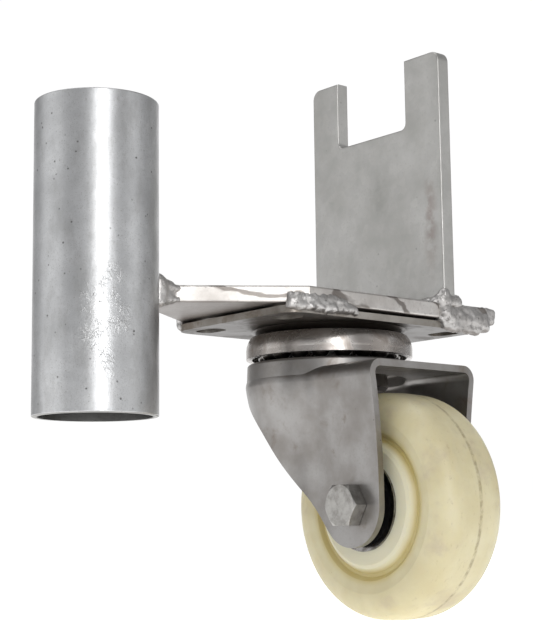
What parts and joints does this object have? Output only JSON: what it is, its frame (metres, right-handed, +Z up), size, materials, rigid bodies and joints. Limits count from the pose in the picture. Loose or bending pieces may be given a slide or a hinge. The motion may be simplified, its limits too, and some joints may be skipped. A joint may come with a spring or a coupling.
{
  "type": "gate wheel",
  "caption": "Swivel caster on a tapered bracket arm, with a sleeve for a gate's upright and a notched plate for its lower rail.",
  "frame": {"origin": "centre of the sleeve's bore at its lower end", "axes": "+Z up along the sleeve, +X from the sleeve along the arm to the notched plate"},
  "size_m": [0.1802, 0.1115, 0.2135],
  "materials": {
    "galvanised": "hot-dip galvanised, dull",
    "weld": "galvanised weld",
    "zinc_plate": "zinc plated, weathered",
    "steel": "plain steel, greased",
    "bolt_zinc": "zinc plated",
    "bearing_steel": "ground steel",
    "seal": "glossy black",
    "nylon": "satin ivory nylon"
  },
  "bodies": {
    "bracket": {"sleeve_tube": "galvanised", "arm_plate": "galvanised", "fork_plate": "galvanised", "weld_sleeve": "weld", "weld_fork": "weld", "weld_caster_plate": "weld", "caster_top_plate": "zinc_plate", "race_ring": "zinc_plate", "kingpin": "steel", "kingpin_nut": "steel", "lower_race_cup": "zinc_plate", "upper_balls": "bearing_steel", "lower_balls": "bearing_steel"},
    "yoke": {"yoke": "zinc_plate", "axle_bolt": "bolt_zinc", "axle_nut": "bolt_zinc", "axle_washer": "bolt_zinc", "axle_sleeve": "steel", "yoke_spacers": "steel", "bearing_inner_near": "bearing_steel", "bearing_inner_far": "bearing_steel"},
    "wheel": {"wheel_body": "nylon", "bearing_outer_near": "bearing_steel", "bearing_outer_far": "bearing_steel", "bearing_balls_near": "bearing_steel", "bearing_balls_far": "bearing_steel", "bearing_seals_near": "seal", "bearing_seals_far": "seal"}
  },
  "joints": [
    {"name": "caster_swivel", "type": "hinge", "parent": "bracket", "child": "yoke", "pos_m": [0.1053, 0, 0.039], "axis": [0, 0, 1], "continuous": true},
    {"name": "wheel_spin", "type": "hinge", "parent": "yoke", "child": "wheel", "pos_m": [0.1053, -0.0345, -0.0295], "axis": [1, 0, 0], "continuous": true}
  ]
}
